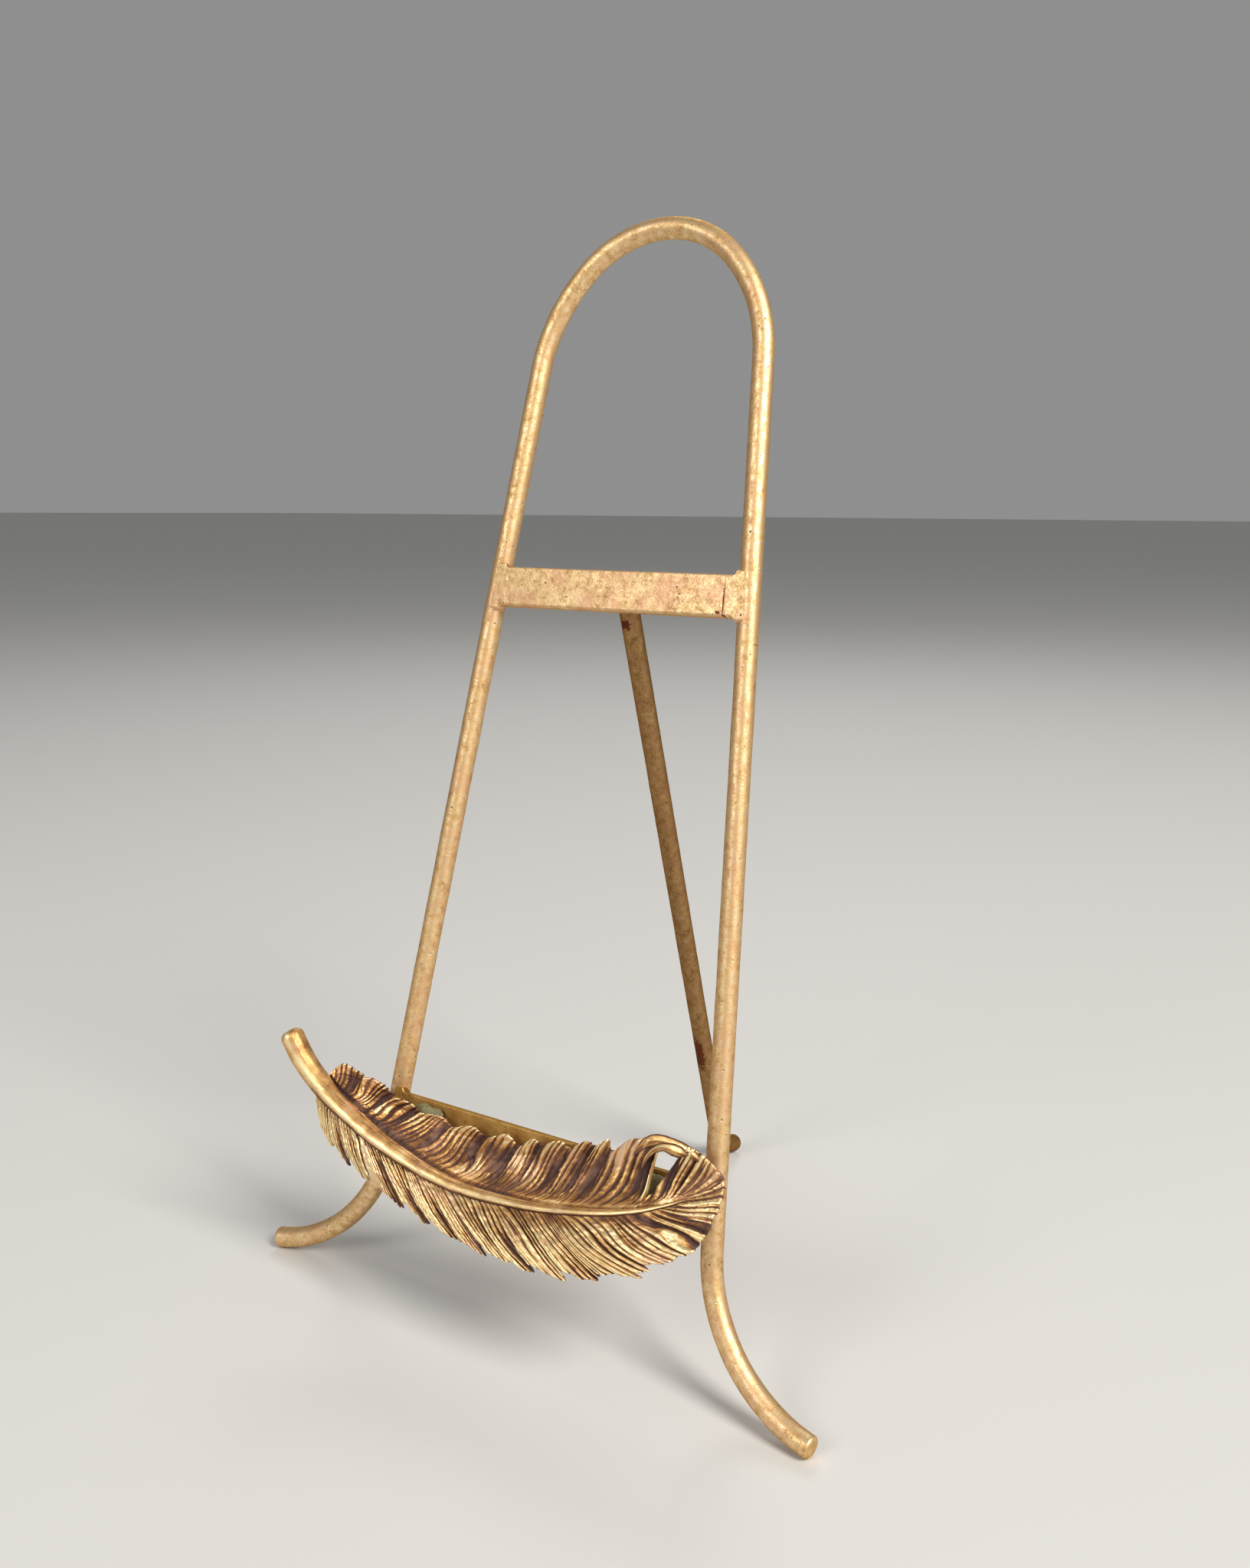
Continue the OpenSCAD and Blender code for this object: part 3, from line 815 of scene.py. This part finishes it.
# Each column's place across its lock, from 0 to 1, and the share of its length that the notch
# takes: the notch closes smoothly over the first part of a lock and opens over the last.
def lockPlaces(t, upper):
    phase, notch = np.zeros(len(t)), np.zeros(len(t))
    for which, mask, closes, opens in (("upper", upper, (0, 0.42), (0.50, 1.0)),
                                       ("lower", ~upper, (0, 0.70), (0.86, 1.0))):
        bounds = np.array(locks[which])
        i = np.clip(np.searchsorted(bounds[:, 0], t, side="right") - 1, 0, len(bounds) - 2)
        f = (t - bounds[i, 0]) / (bounds[i + 1, 0] - bounds[i, 0])
        depth = bounds[i, 1] * (1 - smooth(*closes, f)) + bounds[i + 1, 1] * 0.9 * smooth(*opens, f)
        phase, notch = np.where(mask, f, phase), np.where(mask, depth, notch)
    return phase, notch


# Glaze amounts: 0 is a rubbed ridge and 1 a groove full of glaze, and some of the amounts are
# painted shade. A pair holds the upper vane's value and the lower one's.
vaneGlaze = {
    "base": 0.21,
    "sunk": (0.28, 0.16),        # for each millimetre below the surface nearby, and further round
    "grooves": 0.86,             # between the barbs
    "hairs": (0.26, 0.52),
    "stains": 0.42,              # dark barbs late in each lock of the lower vane
    "hollow": 0.34,              # painted shade in the upper vane's hollow
    "rolled": (0.10, 0.30, 0.25),    # painted shade with glaze under the rolled tops: all over, in grooves, in hairs
    # glaze with painted shade in the crease along the quill
    "quillLine": (0.42, 0.62),
    "patches": 0.12,
    "stem": 0.34,                # the lower vane beside the thin end of the quill
    # glaze with painted shade late in each lock, where the next lock stands over it
    "lockFoot": 0.10,
    "rubbed": 0.06,              # taken off the lower vane, away from the quill
}


# One vane surface that fans all the way round: along the upper edge to the tip and back along
# the lower edge. Each column of the grid is one barb, so that grooves and locks follow the
# barbs. Relief is added along the normals, and glaze gathers where the relief is low. Painted
# shade is added to the glaze in the upper vane's hollow, under the rolled tops, beside the quill
# and late in each lock.
def featherVane(shape, glaze):
    s, t, upper, edge = edgeColumns(shape)
    curves, rootT = barbCurves(shape, t, upper, edge)
    phase, notch = lockPlaces(t, upper)
    low, high = shape["hole"]
    opening = smooth(low, low + 0.06, t) * np.clip((high - t) / (high - low - 0.08), 0, 1) ** 1.2
    opening = np.where(upper, opening, 0)
    reach = (1 - notch) * (1 - opening * (1 - shape["holeFrom"]))

    # barbs of uneven width, counted by cell, with ragged ends
    fan = smooth(8.1, 8.8, t)
    pitch = shape["barbWidth"] * (1 + 0.22 * fan)
    cell = np.cumsum(np.gradient(s) / pitch) + 0.5 * ripple(s / 11, 0 * s, 71)
    ragged = np.where(upper, *shape["ragged"]) * (1 - 0.75 * fan)
    rounding = (0.4 * ragged + 0.004) * np.abs(2 * (cell % 1) - 1) ** 3
    reach = reach * (1 - ragged * perCell(cell, 73) - rounding)
    rows = np.linspace(0, 1, shape["frontRows"]) ** 0.92
    w = rows[None, :] * reach[:, None]
    points, normal = curvePoint(curves, w), plainNormals(curves, w)

    # shares that the relief and the glaze both use
    ss, ph = s[:, None] + 0 * w, phase[:, None]
    sway = 0.45 * ripple(ss / 26, w * 0.7, 75)
    c = cell[:, None] + sway
    edgeness = np.abs(2 * (c % 1) - 1)
    own = perCell(c + 0.5, 72, 0.35, 1.0)
    deep = perCell(c + 0.5, 74) > 0.62
    grow, lockGrow = smooth(0.05, 0.35, w), smooth(0.12, 0.6, w)
    inFan = blur(np.where(t > 8.3, 1.0, 0.0)[:, None], 25)
    isUpper = blur(upper[:, None].astype(float), 41)
    isLower = 1 - isUpper
    early = smooth(2.6, 4.0, t)[:, None]

    # relief: barbs, finer strands in them, locks that overlap, and a rough surface
    ridge = 1 - edgeness ** 2.6
    barbs = shape["barbDepth"] * (ridge - 1) * own * (1 + 0.6 * deep) * (0.3 + 0.7 * grow)
    strand = c * shape["strandsToBarb"] + 0.45 * ripple(ss / 12, w * 0.9, 76)
    hair = np.abs(2 * (strand % 1) - 1) ** 3.0 * perCell(strand + 0.5, 81, 0.1, 1.0)
    strands = -shape["strandDepth"] * hair * grow
    stepSize = shape["lockStep"][0] * isUpper + shape["lockStep"][1] * isLower
    swellSize = shape["lockSwell"][0] * isUpper + shape["lockSwell"][1] * isLower
    step = (stepSize * (0.5 - ph) * smooth(0, 0.05, ph) * lockGrow * (1 - 0.75 * inFan)
            * (0.4 + 0.6 * early))
    swell = (swellSize * (np.sin(np.pi * np.clip(ph, 0, 1) ** 0.7) - 0.5) * lockGrow
             * (1 - 0.6 * inFan) * early)
    coarse, fine = shape["mottle"]
    mottle = coarse * ripple(ss / 3.0, w * 9, 77) + fine * ripple(ss / 1.3, w * 22, 78)
    relief = barbs + strands + step + swell + mottle * (0.4 + 0.6 * grow)

    # beside the quill: a narrow channel, then a rough raised lip where the barbs take root
    out = w * np.linalg.norm(edge - curves[0], axis=1)[:, None] / mm
    radius = quillRadiusAt(rootT)[:, None] / mm
    alongQuill = 1 - smooth(8.3, 8.95, rootT)[:, None]
    roughness = 0.7 + 0.5 * ripple(ss / 1.1, out / 1.5, 79)
    lip = shape["lip"] * np.exp(-((out - radius - 1.0) / 0.5) ** 2) * roughness
    channel = -shape["channel"] * np.exp(-((out - radius - 0.1) / 0.55) ** 2)
    offQuill = smooth(0.5, 2.5, out)
    relief = relief * offQuill + (lip + channel) * alongQuill

    # the upper locks roll forward at their tops, the lower ones fall back a little
    roll = smooth(0.62, 1.0, w) ** 1.5 * np.sin(np.pi * np.clip(ph * 0.9 + 0.06, 0, 1)) ** 0.6
    upperCurl, lowerCurl = shape["curl"]
    bendOut = (upperCurl * isUpper * early * (1 - 0.7 * inFan) + lowerCurl * isLower * (1 - inFan)) * roll

    # front and back: the back is plainer, and never comes through the front
    half = shape["thick"] / 2 + (shape["edgeThick"] - shape["thick"]) / 2 * smooth(0.55, 1.0, w)
    half = half * np.where(rows[None, :] > 0.98, 0.55, 1.0)
    front = points + normal * ((half + relief + bendOut) * mm)[..., None]
    pick = np.linspace(len(rows) - 1, 0, shape["backRows"])
    pick = np.unique(np.round(pick).astype(int))[::-1]
    softRelief = (0.25 * barbs + 0.55 * step + 0.4 * swell)[:, pick] * offQuill[:, pick] * 0.6
    depth = -half[:, pick] + softRelief + bendOut[:, pick]
    back = points[:, pick] + normal[:, pick] * (depth * mm)[..., None]
    gap = np.einsum("ijk,ijk->ij", front[:, pick] - back, normal[:, pick])
    back = back - normal[:, pick] * np.clip(0.5 * mm - gap, 0, None)[..., None]

    # glaze, with painted shade in the hollow, under the rolled tops, by the quill and late in each lock
    near, far = glaze["sunk"]
    sunk = near * (blur(relief, 31) - relief) + far * (blur(relief, 85) - relief)
    hairShare = glaze["hairs"][0] * isUpper + glaze["hairs"][1] * isLower
    drawn = (glaze["grooves"] * edgeness ** 4.8 * (0.30 + 0.70 * own) * (0.80 + 0.45 * deep)
             + hairShare * hair ** 1.1) * grow
    stained = perCell(c * 0.5 + 0.3, 82) > 0.5
    stains = glaze["stains"] * isLower * stained * smooth(0.35, 0.85, ph) * smooth(0.30, 0.75, w)
    # painted shade in the upper vane's hollow
    hollow = (glaze["hollow"] * isUpper * smooth(0.02, 0.2, w) * (1 - smooth(0.70, 0.98, w))
              * (1 - 0.45 * inFan))
    # painted shade, with some glaze, under the rolled tops of the upper locks
    overall, inGrooves, inHairs = glaze["rolled"]
    rolled = ((overall + inGrooves * edgeness + inHairs * hair) * isUpper * smooth(0.62, 1.0, ph)
              * smooth(0.30, 0.65, w) * (1 - smooth(0.88, 0.97, w)) * early)
    # glaze with painted shade in the crease along the quill
    quillLine = glaze["quillLine"][0] * isUpper + glaze["quillLine"][1] * isLower
    quillLine = quillLine * np.exp(-((out - radius - 0.15) / 0.8) ** 2) * alongQuill
    patches = glaze["patches"] * ripple(ss / 17, w * 1.2, 80)
    stem = (glaze["stem"] * isLower * smooth(4.5, 7.2, t)[:, None]
            * np.exp(-((out - radius - 3.0) / 5.0) ** 2))
    # glaze with painted shade late in each lock, where the next lock stands over it
    lockFoot = glaze["lockFoot"] * smooth(0.55, 1.0, ph) * lockGrow
    rubbed = glaze["rubbed"] * isLower * smooth(0.2, 0.6, w)
    glazeAndShade = glaze["base"] + sunk + drawn + hollow + rolled + quillLine + stem + patches + lockFoot
    glazeAndShade = np.clip(glazeAndShade - rubbed + stains, 0, 1)
    rings = np.concatenate([front, back], 1)
    glazeAndShade = np.concatenate([glazeAndShade, 0.25 + 0.6 * glazeAndShade[:, pick]], 1)
    run = np.concatenate([ss + sway, (ss + sway)[:, pick]], 1)
    outward = np.concatenate([out, out[:, pick]], 1)
    return rings, {"glazeAndShade": glazeAndShade, "run": run, "outward": outward}


rings, attributes = featherVane(featherShape, vaneGlaze)
addPiece("featherVane", skinMesh("featherVane", rings, attributes), goldCasting, "frame",
         ["feather"])


# The quill: a round section that tapers along the quill line, with shallow lengthwise lines
# and a rounded free end. It stands a little in front of the vanes. Its colour has a painted
# highlight along the front and painted shade on the underside.
def makeFeatherQuill(shape):
    t = np.linspace(0, shape["quillEnd"], 3000)
    path = featherLine("quill", t)
    length = along(path)
    freeEnd = shape["quillRound"] * mm
    distance = stations(length[-1], shape["quillStep"] * mm, freeEnd)
    path = restation(path, distance)
    t = np.interp(distance, length, t)
    near = np.clip(1 - distance / freeEnd, 0, 1)
    radius = quillRadiusAt(t) - freeEnd * (1 - np.sqrt(1 - near**2)) * 0.95
    radius = radius * np.sqrt(np.clip((length[-1] - distance) / (3 * mm), 0.02, 1))
    vaned = smooth(1.8, 3.2, t)
    forward = np.array([0, -1.0, 0.15])
    path = path + forward * (vaned * (0.35 * radius + 0.35 * mm))[:, None]
    around = shape["quillAround"]
    s, a = np.meshgrid(distance / mm, np.arange(around) / around, indexing="ij")
    r = radius[:, None] / mm
    lines = 0.018 * r * ripple(s / 30, a * 9, 91, spread=1.6)
    lines = lines + 0.03 * ripple(s / 5, np.cos(tau * a), 92)
    ridge = 0.05 * r * np.exp(-((np.sin(tau * a) - 1) / 0.10) ** 2) * vaned[:, None]
    rings = sweep(path, radius, around, forward, (lines + ridge) * mm)
    # painted shade on the quill's underside, and a painted highlight along its front
    underShade = smooth(-0.05, 0.6, np.cos(tau * a)) * vaned[:, None]
    centre = np.exp(-((np.cos(tau * a) + 0.2) / 0.34) ** 2)
    glazeAndShade = 0.44 - 0.24 * centre + 0.42 * underShade + 0.03 * ripple(s / 8, a * 3, 93)
    mesh = skinMesh("featherQuill", rings, {"glazeAndShade": glazeAndShade, "run": tau * r * a, "outward": s})
    return addPiece("featherQuill", mesh, goldCasting, "frame", ["feather"])


makeFeatherQuill(featherShape)


# The curled lock over the gap near the tip is two strands. Each has a line as the feather has,
# its half width at shares of its length, its half thickness and the way that it faces.
strandShapes = {
    "curlTop": {
        "line": [[34.0, 4.2, 62.0], [37.0, 5.2, 65.2], [40.6, 5.7, 66.9], [44.9, 5.8, 67.2],
                 [48.6, 5.6, 66.8], [52.3, 5.2, 65.6], [54.6, 4.8, 63.6]],
        "width": [(0, 0.6), (0.3, 1.6), (0.5, 1.3), (0.7, 1.15), (0.88, 1.1), (1, 0.3)],
        "thick": 0.42,
        "facing": [0, -1, 0.35],
        "seed": 95,
    },
    "curlLeaf": {
        "line": [[37.4, 3.0, 59.2], [38.3, 4.0, 62.0], [40.2, 4.6, 64.4], [42.8, 4.7, 65.9],
                 [45.6, 4.5, 66.2], [48.2, 4.4, 66.0], [50.4, 4.6, 65.7]],
        "width": [(0, 0.3), (0.3, 0.8), (0.55, 0.95), (0.75, 1.6), (0.86, 1.4), (0.95, 0.6), (1, 0.1)],
        "thick": 0.40,
        "facing": [0, -1, 0.55],
        "seed": 96,
    },
}


# A flattened oval section carried along a short curve, thin at its ends, with lengthwise folds.
def makeStrand(name, shape):
    line = np.array(shape["line"], float) * mm + frameFoot
    path = curveAt(line, np.linspace(0, len(line) - 1, 120))
    distance = np.linspace(0, along(path)[-1], 90)
    path = restation(path, distance)
    f = (distance / distance[-1])[:, None]
    facing = unit(np.array(shape["facing"], float))
    side = unit(np.cross(unit(np.gradient(path, axis=0)), np.broadcast_to(facing, path.shape)))
    out = np.cross(side, unit(np.gradient(path, axis=0)))
    around = 28
    a = np.arange(around)[None, :] / around * tau
    w = np.interp(f, *np.array(shape["width"]).T) * mm
    h = shape["thick"] * mm * np.sqrt(np.clip(np.minimum(f, 1 - f) * 9, 0.02, 1))
    folds = 1 + 0.10 * np.cos(5 * a) + 0.05 * ripple(f * 5, a, shape["seed"])
    rings = (path[:, None] + (w * np.cos(a) * folds)[..., None] * side[:, None]
             + (h * np.sin(a) * folds)[..., None] * out[:, None])
    glazeAndShade = 0.28 + 0.45 * np.abs(np.cos(a)) ** 4 + 0.35 * np.abs(np.cos(2.5 * a)) ** 8
    glazeAndShade = glazeAndShade + 0.3 * smooth(0.80, 1, f) + 0.25 * (1 - smooth(0, 0.25, f))
    run = 1.2 * np.sin(a) + 0 * f
    mesh = skinMesh(name, rings, {"glazeAndShade": np.clip(glazeAndShade, 0, 1), "run": run, "outward": 0 * run + f * 12})
    return addPiece(name, mesh, goldCasting, "frame", ["feather"])


for name, strandShape in strandShapes.items():
    makeStrand(name, strandShape)


padShape = {
    "height": 9,
    "start": 2.95,       # where the pad begins, out from the frame's plane: just inside the strap
    "topDepth": 2.6,
    "footDepth": 4.8,
    "rim": 0.07,         # unevenness of the rim
}


# A pad of squeezed adhesive: a soft pillow over the CAD pad's box, thicker toward its foot,
# with an uneven rim. Its section is a rounded square carried from the strap to the feather.
def makePad(name, node, seed):
    low, high = (np.array(v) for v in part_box(node))
    middle, size = (low + high) / 2, (high - low)
    halfHeight = padShape["height"] / 2 * mm
    u = np.linspace(0, tau, 73)[:-1]
    v = np.linspace(-1, 1, 31)
    uu, vv = np.meshgrid(u, v)
    fat = np.clip(1 - np.abs(vv) ** 3.2, 0.004, 1) ** 0.45
    square = (np.abs(np.cos(uu)) ** 4 + np.abs(np.sin(uu)) ** 4) ** -0.25
    rim = 1 + padShape["rim"] * ripple(np.cos(uu) * 1.2, np.sin(uu) * 1.2 + vv, seed)
    across = 0.5 * size[0] * fat * square * np.cos(uu) * rim
    up = halfHeight * fat * square * np.sin(uu) * rim
    foot = (1 - up / halfHeight) / 2
    wedge = padShape["topDepth"] + (padShape["footDepth"] - padShape["topDepth"]) * foot
    depth = (1 + vv) / 2 * wedge * mm + padShape["start"] * mm
    plane = np.stack([middle[0] + across, lowerUp + up, depth], -1)
    mesh = skinMesh(name, toRoom(plane)[:, ::-1])
    return addPiece(name, mesh, setGlue, "frame", [node])


makePad("gluePadLeft", "feather_pad_left", 101)
makePad("gluePadRight", "feather_pad_right", 102)

# The hinge keeps its CAD shapes and takes the leg's gold, darkened as painted shade.
for node in ("hinge_bracket", "hinge_pin"):
    kept = frame["nodes"][node]
    kept.data.materials.clear()
    kept.data.materials.append(goldPaintedShade)
print("hinge painted")

studio = {
    "floorColour": (0.60, 0.59, 0.575),
    "floorRoughness": 0.65,
    "floorHalf": 40.0,
    "worldColour": (0.80, 0.81, 0.80),
    "worldStrength": 0.34,
}
# Round lamps: place, what they point at, size, power and colour.
lamps = {
    "windowLight": [(1.85, -0.5, 1.75), (0, 0, 0.12), 1.1, 72, (1.0, 0.97, 0.92)],
    "frontFill": [(-0.4, -1.4, 0.95), (0, 0, 0.1), 0.7, 8.5, (1.0, 0.98, 0.94)],
    "backLight": [(-0.6, 1.2, 1.4), (0, 0, 0.15), 0.7, 6, (1, 1, 1)],
}


# A wide plain square on the ground.
def makeFloor():
    half = studio["floorHalf"]
    corners = [(-half, -half, 0), (half, -half, 0), (half, half, 0), (-half, half, 0)]
    mesh = bpy.data.meshes.new("floor")
    mesh.from_pydata(corners, [], [(0, 1, 2, 3)])
    floor = bpy.data.objects.new("floor", mesh)
    stock.objects.link(floor)
    material, _, shader = newMaterial("pale floor")
    shader.inputs["Base Color"].default_value = (*studio["floorColour"], 1)
    shader.inputs["Roughness"].default_value = studio["floorRoughness"]
    mesh.materials.append(material)


# A round area lamp turned toward its target.
def makeLamp(name, spot, target, size, power, colour):
    data = bpy.data.lights.new(name, "AREA")
    data.shape, data.size, data.energy, data.color = "DISK", size, power, colour
    lamp = bpy.data.objects.new(name, data)
    lamp.location = spot
    lamp.rotation_euler = (Vector(target) - Vector(spot)).to_track_quat("-Z", "Y").to_euler()
    stock.objects.link(lamp)


# Even light from all round.
def makeWorld():
    world = bpy.data.worlds.new("studio")
    world.use_nodes = True
    background = world.node_tree.nodes["Background"]
    background.inputs["Color"].default_value = (*studio["worldColour"], 1)
    background.inputs["Strength"].default_value = studio["worldStrength"]
    bpy.context.scene.world = world


makeFloor()
for name, lampSettings in lamps.items():
    makeLamp(name, *lampSettings)
makeWorld()

cameraPlace = {
    "fromFoot": (0.2031, -0.2726, 0.22727),   # from the point where the frame's plane meets the floor
    "heading": 31.891,
    "pitch": -11.594,
    "roll": 0.347,
    "lens": 30.752,
}


# The camera looks along its heading, measured from straight back toward the left.
def makeCamera(place):
    heading, pitch, roll = (math.radians(place[k]) for k in ("heading", "pitch", "roll"))
    forward = Vector((-math.sin(heading) * math.cos(pitch),
                      math.cos(heading) * math.cos(pitch), math.sin(pitch)))
    level = Vector((math.cos(heading), math.sin(heading), 0))
    upward = level.cross(forward)
    right = math.cos(roll) * level + math.sin(roll) * upward
    up = -math.sin(roll) * level + math.cos(roll) * upward
    data = bpy.data.cameras.new("camera")
    data.lens, data.sensor_width = place["lens"], 36.0
    data.clip_start = 0.01
    camera = bpy.data.objects.new("camera", data)
    turn = Matrix((right, up, -forward)).transposed().to_4x4()
    camera.matrix_world = Matrix.Translation(Vector(frameFoot) + Vector(place["fromFoot"])) @ turn
    stock.objects.link(camera)
    bpy.context.scene.camera = camera


makeCamera(cameraPlace)
bpy.context.scene.view_settings.view_transform = "Standard"
